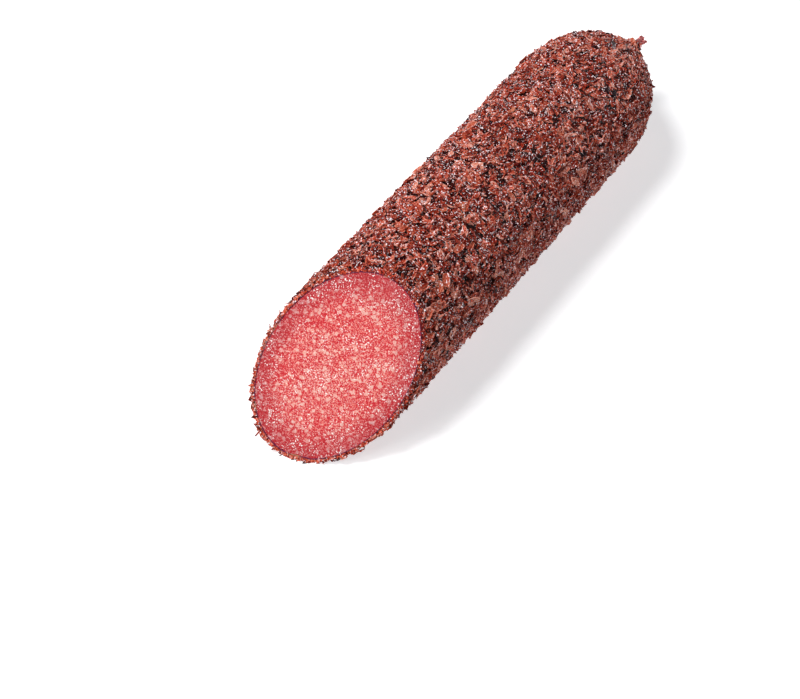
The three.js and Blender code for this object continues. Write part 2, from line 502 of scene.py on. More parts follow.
class Finish:
    """A Principled material that is built from expressions."""

    def __init__(self, name, **constants):
        self.material = bpy.data.materials.new(name)
        self.material.use_nodes = True
        self.tree = self.material.node_tree
        self.shader = self.tree.nodes["Principled BSDF"]
        for socket, value in constants.items():
            self.shader.inputs[socket.replace("_", " ")].default_value = value
        self.place = self.node("ShaderNodeTexCoord").outputs["Object"]

    def node(self, kind, settings=None, inputs=None):
        """Adds a node of any type: its settings first, then the values or links of its sockets."""
        node = self.tree.nodes.new(kind)
        for name, value in (settings or {}).items():
            if name == "stops":
                fill_ramp(node.color_ramp, value)
            else:
                setattr(node, name, value)
        for name, value in (inputs or {}).items():
            self.feed(node.inputs[name], value)
        return node

    def feed(self, socket, value):
        value = getattr(value, "socket", value)
        if isinstance(value, bpy.types.NodeSocket):
            self.tree.links.new(value, socket)
        elif hasattr(socket.default_value, "__len__"):
            size = len(socket.default_value)
            socket.default_value = (tuple(value) + (1.0,) * size)[:size]
        else:
            socket.default_value = value

    def vector(self, operation, first, second):
        """Vector Math on two vectors, or on a vector and the number that scales it."""
        socket = "Scale" if operation == "SCALE" else 1
        inputs = {0: first, socket: second}
        return self.node("ShaderNodeVectorMath", {"operation": operation}, inputs).outputs[0]

    def noise(self, scale, detail=2.0, roughness=0.5, vector=None):
        place = vector or self.place
        inputs = {"Vector": place, "Scale": scale, "Detail": detail, "Roughness": roughness}
        return Number(self, self.node("ShaderNodeTexNoise", inputs=inputs).outputs["Fac"])

    def cells(self, scale, vector):
        """How far each place is from the middle of its cell, and a random colour for each cell."""
        node = self.node("ShaderNodeTexVoronoi", inputs={"Vector": vector, "Scale": scale})
        return Number(self, node.outputs["Distance"]), node.outputs["Color"]

    def wobbled(self, scale, amount):
        """Coordinates pushed about by noise, so that a pattern of cells loses its straight edges."""
        inputs = {"Vector": self.place, "Scale": scale, "Detail": 1.0}
        push = self.node("ShaderNodeTexNoise", inputs=inputs).outputs["Color"]
        centred = self.vector("SUBTRACT", push, (0.5, 0.5, 0.5))
        return self.vector("ADD", self.place, self.vector("SCALE", centred, amount))

    def dots(self, scale, vector, share, core, edge):
        """1 inside dots that fill a share of the cells, fading from core to edge of a cell's width."""
        far, colour = self.cells(scale, vector)
        kind = self.split(colour, 1)
        return kind.over(1 - share - 0.01, 1 - share + 0.01) * (1 - far.over(core, edge))

    def ramp(self, value, *stops):
        return self.node("ShaderNodeValToRGB", {"stops": stops}, {"Fac": value}).outputs["Color"]

    def mix(self, share, first, second, blend="MIX"):
        # The node's colour sockets are its inputs 6 and 7 and its output 2
        inputs = {"Factor": share, 6: first, 7: second}
        return self.node("ShaderNodeMix", {"data_type": "RGBA", "blend_type": blend}, inputs).outputs[2]

    def split(self, socket, channel):
        return Number(self, self.node("ShaderNodeSeparateXYZ", inputs={0: socket}).outputs[channel])

    def attribute(self, name):
        return Number(self, self.node("ShaderNodeAttribute", {"attribute_name": name}).outputs["Fac"])

    def set(self, **sockets):
        for name, value in sockets.items():
            self.feed(self.shader.inputs[name.replace("_", " ")], value)

    def bump(self, height, distance, strength):
        inputs = {"Height": height, "Distance": distance, "Strength": strength}
        return self.node("ShaderNodeBump", inputs=inputs).outputs["Normal"]


def fill_ramp(ramp, stops):
    while len(ramp.elements) < len(stops):
        ramp.elements.new(0.5)
    for element, (place, colour) in zip(ramp.elements, stops, strict=True):
        element.position = place
        element.color = (*colour, 1.0)


class Number:
    """A socket that Python sums and products can use."""

    def __init__(self, finish, socket):
        self.finish = finish
        self.socket = socket

    def maths(self, operation, first, second=0.0, clamp=False):
        node = self.finish.node(
            "ShaderNodeMath", {"operation": operation, "use_clamp": clamp}, {0: first, 1: second}
        )
        return Number(self.finish, node.outputs[0])

    def __add__(self, other):
        return self.maths("ADD", self, other)

    __radd__ = __add__

    def __mul__(self, other):
        return self.maths("MULTIPLY", self, other)

    __rmul__ = __mul__

    def __sub__(self, other):
        return self.maths("SUBTRACT", self, other)

    def __rsub__(self, other):
        return self.maths("SUBTRACT", other, self)

    def __pow__(self, power):
        return self.maths("POWER", self, power)

    def over(self, low, high):
        """0 under low, 1 over high and smooth between them."""
        node = self.finish.node(
            "ShaderNodeMapRange",
            {"interpolation_type": "SMOOTHSTEP"},
            {"Value": self, "From Min": low, "From Max": high},
        )
        return Number(self.finish, node.outputs["Result"])

    def clamped(self):
        return self.maths("ADD", self, 0.0, clamp=True)


# Materials


def meat_material():
    """Grains of lean meat and fat, larger bits of fat, white specks of painted glint, and a darker ragged
    rim.
    """
    meat = bpy.context.scene.sausage_meat
    finish = Finish("cured_meat", Specular_IOR_Level=0.35)
    grain = meat.grain
    grains = finish.noise(1 / grain, 1.5).over(0.42, 0.58)
    fine = finish.noise(1.8 / grain, 1.0).over(0.38, 0.62)
    blob_place = finish.wobbled(0.75 / grain, grain)
    blob = finish.dots(0.27 / grain, blob_place, 0.42, 0.34, 0.48)
    small_blob = finish.dots(0.52 / grain, blob_place, 0.26, 0.36, 0.52)
    # White specks painted as glints, denser where this noise is high
    glinting = finish.noise(130, 2.0).over(0.44, 0.60)
    painted_glint = finish.noise(0.95 / grain, 0.0).over(0.65, 0.71) * (0.3 + 0.7 * glinting)
    drift = finish.noise(45, 2.0)
    off_x = finish.split(finish.place, 0) - AXIS_X
    off_z = finish.split(finish.place, 2) - AXIS_Z
    radius = (off_x * off_x + off_z * off_z) ** 0.5
    ragged = radius + 7.0 * MM * (finish.noise(110, 3.0) - 0.5)
    rim = ragged.over(CRUST_RADIUS - 17 * MM, CRUST_RADIUS - MEAT_DEPTH)
    value = 0.62 * grains + 0.50 * fine + 0.55 * (drift - 0.5) - 0.32
    value = value - 0.12 * rim + 0.8 * small_blob * (0.86 - value)
    value = value + 0.8 * blob * (0.90 - value)
    body = finish.ramp(
        value,
        (0.0, meat.deep),
        (0.25, meat.lean),
        (0.5, (0.78, 0.14, 0.12)),
        (0.75, meat.fat),
        (1.0, (0.83, 0.64, 0.58)),
    )
    body = finish.mix(0.95 * rim, body, (0.70, 0.50, 0.62), "MULTIPLY")
    finish.set(
        Base_Color=finish.mix(0.95 * painted_glint, body, (0.96, 0.92, 0.90)),
        Roughness=0.30 + 0.26 * fine,
        Normal=finish.bump(0.6 * grains + 0.4 * fine + 0.5 * blob, 0.16 * MM, 0.8),
    )
    return finish.material


def casing_material():
    """Dark purple film with pale see-through patches."""
    finish = Finish("casing_film", Specular_IOR_Level=0.3)
    patch = finish.noise(90, 2.0).over(0.56, 0.68)
    fine = finish.noise(1400, 3.0)
    dark = finish.mix(fine, (0.050, 0.003, 0.022), (0.19, 0.018, 0.070))
    light = finish.mix(fine, (0.40, 0.13, 0.06), (0.66, 0.36, 0.18))
    finish.set(
        Base_Color=finish.mix(patch * 0.8, dark, light),
        Roughness=0.22 + 0.2 * fine,
        Normal=finish.bump(fine, 0.08 * MM, 0.6),
    )
    return finish.material


def bed_material():
    """Fine dark crumbs of several tones, with near-black painted shade in the gaps between them and pale
    specks of painted glint.
    """
    finish = Finish("crust_bed", Specular_IOR_Level=0.08, Roughness=0.5)
    crumbs = finish.wobbled(1300, 0.4 * MM)
    far, colour = finish.cells(1200, crumbs)
    kind = finish.split(colour, 0)
    body = finish.ramp(
        kind,
        (0.4, (0.03, 0.002, 0.002)),
        (0.7, (0.10, 0.007, 0.003)),
        (0.95, (0.22, 0.018, 0.007)),
    )
    # The edges of the cells are painted near-black, as the shade in the gaps between crumbs
    body = finish.mix(far.over(0.35, 0.65), body, (0.008, 0.001, 0.001))
    # Pale dots painted as glints
    finish.set(
        Base_Color=finish.mix(0.7 * finish.dots(1000, crumbs, 0.20, 0.32, 0.46), body, PAINTED_GLINT_COLOUR),
        Normal=finish.bump(1 - far, 0.5 * MM, 0.9),
    )
    return finish.material


def flake_material(name):
    """Dried flakes: each has its own tone, fibres along it, pale thin edges that are partly their own colour
    and partly painted highlight, dark pits of painted shade, and pale specks and streaks of painted glint.
    """
    dark, middle, light, painted_dot_share = FLAKE_COLOURS[name]
    finish = Finish(name, Specular_IOR_Level=0.08, Roughness=0.4)
    tone = finish.attribute("tone")
    along = finish.node("ShaderNodeUVMap", {"uv_map": "Fibre"}).outputs["UV"]
    fibre = finish.noise(1.0, 1.5, 0.6, finish.vector("MULTIPLY", along, (0.4, 1.9, 1.0)))
    mottle = finish.noise(1200, 2.0, 0.6)
    wobbled = finish.wobbled(1300, 0.4 * MM)
    # Dark dots painted as the shade in pits
    pit_shade = finish.dots(1100, wobbled, painted_dot_share, 0.32, 0.48)
    # Pale streaks along the fibre and pale dots, painted as glints
    glint_streak = finish.noise(1.0, 0.0, 0.5, finish.vector("MULTIPLY", along, (0.5, 1.7, 1.0)))
    dot = finish.dots(950, wobbled, 0.85 * painted_dot_share, 0.35, 0.45)
    painted_glint = (dot + glint_streak.over(0.69, 0.74)).clamped()
    # The thin edges are lightened: partly their own paler colour, partly painted highlight
    edge = finish.attribute("rim").over(0.80, 0.98)
    value = tone + 1.3 * (mottle - 0.5) + 1.6 * (fibre - 0.5) + 0.28 * edge - 0.08
    body = finish.ramp(value, (0.14, dark), (0.45, middle), (0.78, light), (1.0, PALE))
    body = finish.mix(0.9 * pit_shade, body, PIT_PAINTED_SHADE)
    finish.set(
        Base_Color=finish.mix(0.9 * painted_glint, body, PAINTED_GLINT_COLOUR),
        Normal=finish.bump(0.6 * fibre + 0.7 * mottle, 0.32 * MM, 1.0),
    )
    return finish.material


def tail_material():
    """Dark at the neck, and pink-red towards the frayed tip, whose pale patches are partly painted
    highlight.
    """
    finish = Finish("gathered_tail", Specular_IOR_Level=0.5)
    outwards = finish.split(finish.place, 1).over(NECK_END_Y + 1 * MM, TAIL_END_Y)
    fine = finish.noise(1300, 3.0)
    root = finish.mix(fine, (0.04, 0.003, 0.006), (0.13, 0.012, 0.016))
    # The tip's pale pink patches are partly its own colour and partly painted highlight
    tip = finish.mix(fine.over(0.40, 0.60), (0.50, 0.02, 0.04), (0.95, 0.36, 0.34))
    finish.set(
        Base_Color=finish.mix((outwards + 0.8 * (fine - 0.5)).clamped(), root, tip),
        Roughness=0.3 + 0.3 * fine,
        Normal=finish.bump(fine, 0.2 * MM, 0.8),
    )
    return finish.material


def floor_material():
    """A pale floor that glows a little, so that it stays nearly white all over."""
    finish = Finish(
        "pale_floor",
        Specular_IOR_Level=0.2,
        Roughness=0.7,
        Emission_Color=(0.94, 0.97, 1.0, 1.0),
        Emission_Strength=0.5,
    )
    grain = finish.noise(40, 2.0)
    finish.set(Base_Color=finish.mix(grain, (0.72, 0.72, 0.72), (0.74, 0.74, 0.74)))
    return finish.material


# Flakes that are modelled once and copied, each one unit long
# Their values named rim say how near a point is to the flake's edge, from 0 to 1


def model_chip(seed):
    """A flat ragged chip: a fan of few corners that is pulled about and given thickness."""
    bpy.ops.mesh.primitive_circle_add(vertices=9, radius=0.5, fill_type="TRIFAN", location=(0, 0, 0))
    chip = bpy.context.object
    chip.name = f"chip_form_{seed}"
    with editing(chip, mode="FACE"):
        bpy.ops.transform.vertex_random(offset=0.17, uniform=0.0, normal=0.0, seed=seed)
        bpy.ops.mesh.extrude_region_move(TRANSFORM_OT_translate={"value": (0, 0, 0.09)})
        bpy.ops.mesh.select_all(action="SELECT")
        bpy.ops.transform.vertex_random(offset=0.03, uniform=0.0, normal=0.0, seed=seed + 1)
        bpy.ops.mesh.normals_make_consistent(inside=False)
    points = points_of(chip.data)
    set_value(chip.data, "rim", np.clip(2.2 * np.hypot(points[:, 0], points[:, 1]), 0, 1))
    return chip


def model_plate(seed, curl):
    """A torn plate: a thin sheet with a ragged outline, narrowed ends and a curl across and along it."""
    bpy.ops.mesh.primitive_plane_add(size=1, location=(0, 0, 0))
    plate = bpy.context.object
    plate.name = f"plate_form_{seed}"
    with editing(plate, mode="FACE"):
        bpy.ops.mesh.subdivide(number_cuts=3)
        bpy.ops.transform.vertex_random(offset=0.11, uniform=0.0, normal=0.0, seed=seed)
        bpy.ops.mesh.extrude_region_move(TRANSFORM_OT_translate={"value": (0, 0, 0.07)})
        bpy.ops.mesh.select_all(action="SELECT")
        bpy.ops.transform.vertex_random(offset=0.02, uniform=0.0, normal=0.0, seed=seed + 1)
        bpy.ops.mesh.normals_make_consistent(inside=False)
    points = points_of(plate.data)
    reach = np.maximum(np.abs(points[:, 0]), np.abs(points[:, 1]))
    set_value(plate.data, "rim", np.clip(2 * reach, 0, 1))
    points[:, 1] *= 1 - 1.1 * points[:, 0] ** 2
    points[:, 2] += curl * (points[:, 1] + 0.2) ** 2 + 0.5 * curl * points[:, 0] ** 2
    set_points(plate.data, points)
    return plate


def model_shred(seed, bend, twist):
    """A long narrow shred: a bar cut into lengths, frayed, tapered, bent and twisted."""
    bpy.ops.mesh.primitive_cube_add(size=1, location=(0, 0, 0), scale=(1, 0.24, 0.06))
    shred = bpy.context.object
    shred.name = f"shred_form_{seed}"
    place_in_mesh(shred)
    with editing(shred):
        bpy.ops.mesh.bisect(plane_co=(0, 0, 0), plane_no=(0, 1, 0))
        for cut in (-0.3, -0.1, 0.1, 0.3):
            bpy.ops.mesh.select_all(action="SELECT")
            bpy.ops.mesh.bisect(plane_co=(cut, 0, 0), plane_no=(1, 0, 0))
        bpy.ops.mesh.select_all(action="SELECT")
        bpy.ops.transform.vertex_random(offset=0.03, uniform=0.0, normal=0.0, seed=seed)
    points = points_of(shred.data)
    set_value(shred.data, "rim", np.clip(np.abs(points[:, 1]) / 0.1, 0, 1))
    along = 2 * points[:, 0]
    points[:, 1] *= 1 - 0.55 * along**4
    points[:, 1] += bend * (along**2 - 0.3)
    turn = twist * along
    sideways, upwards = points[:, 1].copy(), points[:, 2].copy()
    points[:, 1] = sideways * np.cos(turn) - upwards * np.sin(turn)
    points[:, 2] = sideways * np.sin(turn) + upwards * np.cos(turn)
    set_points(shred.data, points)
    return shred


def model_crumb(seed):
    """A small angular crumb: every other one starts as a double pyramid, the others as a block."""
    if seed % 2:
        bpy.ops.mesh.primitive_cube_add(size=0.72, location=(0, 0, 0))
    else:
        bpy.ops.mesh.primitive_uv_sphere_add(segments=4, ring_count=2, radius=0.5, location=(0, 0, 0))
    crumb = bpy.context.object
    crumb.name = f"crumb_form_{seed}"
    with editing(crumb):
        bpy.ops.transform.vertex_random(offset=0.17, uniform=0.0, normal=0.0, seed=seed)
    set_value(crumb.data, "rim", np.full(len(crumb.data.vertices), 0.4))
    return crumb


def take_form(obj):
    """Reads a modelled flake into arrays and removes its object."""
    with editing(obj, mode="FACE"):
        bpy.ops.uv.smart_project(angle_limit=1.2, island_margin=0.03, scale_to_bounds=True)
    mesh = obj.data
    sizes = np.empty(len(mesh.polygons), np.int32)
    mesh.polygons.foreach_get("loop_total", sizes)
    corners = np.empty(len(mesh.loops), np.int32)
    mesh.loops.foreach_get("vertex_index", corners)
    places = np.empty(len(mesh.loops) * 2, np.float32)
    mesh.uv_layers[0].data.foreach_get("uv", places)
    rim = np.empty(len(mesh.vertices), np.float32)
    mesh.attributes["rim"].data.foreach_get("value", rim)
    form = {
        "points": points_of(mesh),
        "corners": corners,
        "sizes": sizes,
        "places": places.reshape(-1, 2),
        "rim": rim,
    }
    bpy.data.objects.remove(obj)
    return form


# Scattering

# How far past its own middle the cut reaches along the log, in radii
CUT_REACH = 1.1


def crust_outline():
    """The crust's outline as arrays: radius, y and the area before each point."""
    start_y = cut_point().y - CUT_REACH * CRUST_RADIUS
    outline = np.array(log_outline(0, start_y, 1 * MM, 90, 8))
    steps = np.hypot(*np.diff(outline, axis=0).T)
    area = np.concatenate([[0], np.cumsum(steps * (outline[1:, 0] + outline[:-1, 0]) / 2)])
    return outline[:, 0], outline[:, 1], area


def lumps(y, angle):
    """How far up each place is, about -1 to 1, on the crust's lumps and hollows."""
    places = np.stack([np.sin(angle), y / CRUST_RADIUS, np.cos(angle)], axis=1)
    return rough(places * LUMPS_PER_RADIUS, 1)


def scatter_places(count, rng):
    """Evenly spread places on the crust: y, angle from the top towards +X, radius and slope."""
    radii, ys, area = crust_outline()
    found = []
    wanted = count
    while wanted > 0:
        share = rng.random(2 * wanted + 16) * area[-1]
        angle = rng.uniform(-math.pi, math.pi, len(share))
        y = np.interp(share, area, ys)
        radius = np.interp(share, area, radii)
        points = np.stack(
            [AXIS_X + radius * np.sin(angle), y, AXIS_Z + radius * np.cos(angle)], axis=1
        )
        kept = past_cut(points) < 0
        found.append(np.stack([y[kept], angle[kept], radius[kept]], axis=1)[:wanted])
        wanted -= len(found[-1])
    y, angle, radius = np.concatenate(found).T
    radius = radius + LUMP_HEIGHT * lumps(y, angle)
    gap = 0.5 * MM
    slope = (np.interp(y + gap, ys, radii) - np.interp(y - gap, ys, radii)) / (2 * gap)
    return y, angle, radius, slope


def rim_places(count, rng):
    """Places round the cut edge, all through the crust's thickness."""
    normal = cut_normal()
    angle = rng.uniform(-math.pi, math.pi, count)
    radius = CRUST_RADIUS - rng.uniform(0.1, 1.55, count) * MM
    inside = rng.uniform(-0.8, 0.1, count) * MM
    across = radius * (np.sin(angle) * normal.x + np.cos(angle) * normal.z)
    y = cut_point().y + (inside - across) / normal.y
    return y, angle, radius, np.zeros(count)


def surface_frames(y, angle, radius, slope):
    """Centre, direction along the log, direction round it and outward normal at each place."""
    out = np.stack([np.sin(angle), np.zeros_like(angle), np.cos(angle)], axis=1)
    length = np.sqrt(1 + slope**2)[:, None]
    forward = np.array([0.0, 1.0, 0.0])
    along = (out * slope[:, None] + forward) / length
    normal = (out - forward * slope[:, None]) / length
    around = np.cross(along, normal)
    centre = out * radius[:, None] + np.array([AXIS_X, 0, AXIS_Z])
    centre[:, 1] = y
    return centre, along, around, normal


def mixed_tilts(rng, count, usual, wide, wide_share):
    """Tilts of which most have the usual spread and a share have the wide one."""
    spread = np.where(rng.random(count) < wide_share, wide, usual)
    return rng.normal(0, 1, count) * spread


def lay_flakes(forms, places, lay, rng):
    """Copies of the forms, each with its own size, heading, tilt and lift on the crust."""
    y, angle, radius, slope = places
    count = len(y)
    centre, along, around, normal = surface_frames(y, angle, radius, slope)
    shortest, longest = lay["length"]
    length = shortest + (longest - shortest) * rng.random(count) ** lay["skew"]
    width = length * rng.uniform(*lay["width"], count)
    thick = length * rng.uniform(*lay["thick"], count)
    tilt = mixed_tilts(rng, count, *lay["tilt"])
    roll = mixed_tilts(rng, count, *lay["roll"])
    heading = rng.uniform(0, 2 * math.pi, count)
    lift = rng.uniform(*lay["lift"], count)
    overhang = rng.uniform(*lay["overhang"], count)
    floor_gap = rng.uniform(0, 0.3 * MM, count)
    bowl = rng.uniform(-0.15, 0.35, count)
    batches = []
    for number, form in enumerate(forms):
        mine = np.arange(number, count, len(forms))
        points = form["points"][None, :, :] * np.stack([length, width, thick], 1)[mine][:, None, :]
        points[:, :, 2] += bowl[mine][:, None] * points[:, :, 0] ** 2 / length[mine][:, None]
        fibre = points[:, :, :2] / MM + rng.uniform(0, 900, (len(mine), 1, 2))
        points = turned(points, roll[mine], 1, 2)
        points = turned(points, tilt[mine], 0, 2)
        points = turned(points, heading[mine], 0, 1)
        drop = points[:, :, 1] ** 2 / (2 * np.maximum(radius[mine], 8 * MM))[:, None]
        points[:, :, 2] += lift[mine][:, None] - drop
        points[:, :, 2] -= PRESSED * np.maximum(points[:, :, 2] - PRESSED_OVER, 0)
        world = (
            centre[mine][:, None, :]
            + points[:, :, 0:1] * along[mine][:, None, :]
            + points[:, :, 1:2] * around[mine][:, None, :]
            + points[:, :, 2:3] * normal[mine][:, None, :]
        )
        over = np.maximum(past_cut(world) - overhang[mine][:, None], 0)
        world[:, :, 1] -= over / cut_normal().y
        world[:, :, 2] = np.maximum(world[:, :, 2], floor_gap[mine][:, None])
        batches.append((form, world, fibre, mine))
    return batches


def turned(points, angle, first, second):
    """Points turned in the plane of two of their axes."""
    a, b = points[:, :, first].copy(), points[:, :, second].copy()
    cos, sin = np.cos(angle)[:, None], np.sin(angle)[:, None]
    points[:, :, first] = a * cos - b * sin
    points[:, :, second] = a * sin + b * cos
    return points


def bake_cells(form, first, copies, across):
    """Each copy's own cell of the bake map, which is across cells wide."""
    number = first + np.arange(copies)
    corner = np.stack([number % across, number // across], axis=1)
    inside = 0.04 + 0.92 * form["places"]
    return ((corner[:, None, :] + inside[None, :, :]) / across).reshape(-1, 2)


def join_flakes(name, batches, tones):
    """One mesh of many flakes, each with its tone, its rim and a cell of the bake map."""
    across = math.ceil(math.sqrt(len(tones)))
    columns = {key: [] for key in ("points", "corners", "sizes", "maps", "fibres", "tones", "rims")}
    first_point = 0
    first_copy = 0
    for form, world, fibre, mine in batches:
        copies, count = world.shape[:2]
        starts = first_point + count * np.arange(copies)
        columns["points"].append(world.reshape(-1, 3))
        columns["corners"].append((starts[:, None] + form["corners"][None, :]).ravel())
        columns["sizes"].append(np.tile(form["sizes"], copies))
        columns["maps"].append(bake_cells(form, first_copy, copies, across))
        columns["fibres"].append(fibre[:, form["corners"], :].reshape(-1, 2))
        columns["tones"].append(np.repeat(tones[mine], count))
        columns["rims"].append(np.tile(form["rim"], copies))
        first_point += copies * count
        first_copy += copies
    joined = {key: np.concatenate(parts) for key, parts in columns.items()}
    mesh = bpy.data.meshes.new(name)
    mesh.vertices.add(len(joined["points"]))
    mesh.loops.add(len(joined["corners"]))
    mesh.loops.foreach_set("vertex_index", joined["corners"].astype(np.int32))
    mesh.polygons.add(len(joined["sizes"]))
    starts = np.concatenate([[0], np.cumsum(joined["sizes"])[:-1]])
    mesh.polygons.foreach_set("loop_start", starts.astype(np.int32))
    set_points(mesh, joined["points"])
    for layer, key in (("OFBake", "maps"), ("Fibre", "fibres")):
        mesh.uv_layers.new(name=layer).data.foreach_set("uv", joined[key].astype(np.float32).ravel())
    for layer, key in (("tone", "tones"), ("rim", "rims")):
        set_value(mesh, layer, joined[key])
    mesh.update(calc_edges=True)
    mesh.shade_flat()
    obj = bpy.data.objects.new(name, mesh)
    bpy.context.scene.collection.objects.link(obj)
    return obj


def flake_tones(name, count, rng):
    """A tone from 0, dark, to 1, light, for each flake of a kind."""
    mean, spread, odd_ones = FLAKE_TONES[name]
    tones = rng.normal(mean, spread, count)
    for share, change in odd_ones:
        tones[rng.random(count) < share] += change
    return np.clip(tones, 0, 1)


def scatter_kind(name, forms, pieces):
    """Lays all the flakes of a kind and shares them out over pieces, each spread over the whole log."""
    crust = bpy.context.scene.sausage_crust
    material = flake_material(name)
    share = getattr(crust, name) // pieces
    for number in range(1, pieces + 1):
        # Kinds with equally long names share their places along the log, but not round it
        rng = np.random.default_rng([crust.seed, len(name), number])
        places = scatter_places(share, rng)
        batches = lay_flakes(forms, places, FLAKE_LAYS[name], rng)
        # Painted light and shade: flakes on the lumps are lighter and those in the hollows darker
        tones = flake_tones(name, share, rng) + LUMP_PAINTED_LIGHT * lumps(*places[:2])
        piece = join_flakes(f"{name}_{number}", batches, np.clip(tones, 0, 1))
        finish_piece(piece, material, "coat")


# The operators, one for each piece or kind of piece


class SAUSAGE_OT_meat(Operator):
    """Model the cut log of salami"""

    bl_idname = "sausage.meat"
    bl_label = "Cured Meat"

    def execute(self, context):
        sides = 256
        meat = spin_log("cured_meat_log", MEAT_DEPTH, ONE_ROW, 20, sides)
        cut_off(meat)
        on_cut = np.abs(past_cut(points_of(meat.data))) < TOUCH
        select_points(meat, on_cut)
        with editing(meat, select=None):
            bpy.ops.mesh.fill_grid(span=sides // 4)
            bpy.ops.mesh.subdivide(number_cuts=3)
        points = points_of(meat.data)
        face = np.abs(past_cut(points)) < 0.05 * MM
        heights = 0.10 * rough(points[face], 900) + 0.08 * rough(points[face], 60)
        points[face] += (heights * MM)[:, None] * np.array(cut_normal())
        set_points(meat.data, points)
        smooth(meat)
        finish_piece(meat, meat_material(), "meat", "cured_meat")
        return {"FINISHED"}


class SAUSAGE_OT_casing(Operator):
    """Model the casing film with its ragged cut edge"""

    bl_idname = "sausage.casing"
    bl_label = "Casing"

    def execute(self, context):
        thickness = 0.3 * MM
        film = spin_log("casing_film", MEAT_DEPTH - thickness, ONE_ROW, 20, 384)
        for under in (4 * MM, 2 * MM, 1 * MM):
            cut_off(film, past=-under, keep_outer=True)
        cut_off(film, past=0.1 * MM)
        points = points_of(film.data)
        rim = past_cut(points) > 0
        ragged = np.abs(rough(points[rim], 260))
        points[rim] += (0.5 * MM * ragged)[:, None] * np.array(cut_normal())
        set_points(film.data, points)
        apply_modifier(film, "wall", "SOLIDIFY", thickness=thickness, offset=-1)
        smooth(film)
        finish_piece(film, casing_material(), "casing", "casing")
        return {"FINISHED"}


class SAUSAGE_OT_bed(Operator):
    """Model the bed of fine crumbs under the flakes"""

    bl_idname = "sausage.bed"
    bl_label = "Crust Bed"

    def execute(self, context):
        depth = 1.4 * MM
        thickness = 0.5 * MM
        bed = spin_log("crust_bed", depth, 1.7 * MM, 44, 160, 6)
        cut_off(bed, past=-0.8 * MM)
        points = points_of(bed.data)
        out = points - np.array([AXIS_X, 0, AXIS_Z])
        out[:, 1] = 0
        out /= np.maximum(np.linalg.norm(out, axis=1), 1e-9)[:, None]
        bumps = rough(points, 420) + 0.5 * rough(points, 1100)
        points += (0.28 * MM * bumps)[:, None] * out
        points[:, 2] = np.maximum(points[:, 2], 0.1 * MM)
        set_points(bed.data, points)
        apply_modifier(bed, "wall", "SOLIDIFY", thickness=thickness, offset=-1)
        smooth(bed, math.radians(80))
        finish_piece(bed, bed_material(), "coat", "flake_coat")
        return {"FINISHED"}


class SAUSAGE_OT_crumbs(Operator):
    """Scatter the small crumbs"""

    bl_idname = "sausage.crumbs"
    bl_label = "Crumbs"

    def execute(self, context):
        scatter_kind("crumbs", crumb_forms(), 4)
        return {"FINISHED"}


class SAUSAGE_OT_chips(Operator):
    """Scatter the flat chips"""

    bl_idname = "sausage.chips"
    bl_label = "Chips"

    def execute(self, context):
        scatter_kind("chips", chip_forms(), 4)
        return {"FINISHED"}


class SAUSAGE_OT_plates(Operator):
    """Scatter the torn plates that lie on top of the crust"""

    bl_idname = "sausage.plates"
    bl_label = "Plates"

    def execute(self, context):
        forms = [take_form(model_plate(seed, 0.6 * math.sin(1.7 * seed))) for seed in range(8)]
        scatter_kind("plates", forms, 1)
        return {"FINISHED"}


class SAUSAGE_OT_shreds(Operator):
    """Scatter the long shreds"""

    bl_idname = "sausage.shreds"
    bl_label = "Shreds"

    def execute(self, context):
        forms = []
        for seed in range(9):
            bend, twist = 0.1 * (seed - 4), 0.7 * math.sin(2.4 * seed)
            forms.append(take_form(model_shred(seed, bend, twist)))
        scatter_kind("shreds", forms, 4)
        return {"FINISHED"}


class SAUSAGE_OT_rim_flakes(Operator):
    """Pack crumbs and chips into the crust's thickness where the cut shows it"""

    bl_idname = "sausage.rim_flakes"
    bl_label = "Rim Flakes"

    def execute(self, context):
        crust = context.scene.sausage_crust
        rng = np.random.default_rng([crust.seed, 99])
        forms = crumb_forms() + chip_forms()[:3]
        places = rim_places(crust.rim_flakes, rng)
        batches = lay_flakes(forms, places, FLAKE_LAYS["rim_flakes"], rng)
        # Painted shade: the rim flakes are darker round the side of the cut edge that is turned from the
        # light
        painted_shade = np.clip(np.cos(places[1] - RIM_PAINTED_SHADE_ANGLE), 0, 1)
        tones = flake_tones("chips", crust.rim_flakes, rng) + 0.18 - 0.45 * painted_shade
        piece = join_flakes("rim_flakes", batches, np.clip(tones, 0, 1))
        finish_piece(piece, flake_material("rim_flakes"), "coat")
        return {"FINISHED"}


def crumb_forms():
    return [take_form(model_crumb(seed)) for seed in range(6)]


def chip_forms():
    return [take_form(model_chip(seed)) for seed in range(8)]


class SAUSAGE_OT_large_flakes(Operator):
    """Model the largest flakes where the frame has them"""

    bl_idname = "sausage.large_flakes"
    bl_label = "Large Flakes"

    def execute(self, context):
        for number, slot in enumerate(FLAKE_SLOTS):
            name = f"large_{slot}"
            nodes = LARGE_FLAKES[number :: len(FLAKE_SLOTS)]
            copies = [detailed_flake(node) for node in nodes]
            pick(copies[0])
            for copy in copies:
                copy.select_set(True)
            bpy.ops.object.join()
            piece = bpy.context.object
            piece.name = name
            smooth(piece, math.radians(40))
            finish_piece(piece, flake_material(name), slot, *nodes)
        return {"FINISHED"}


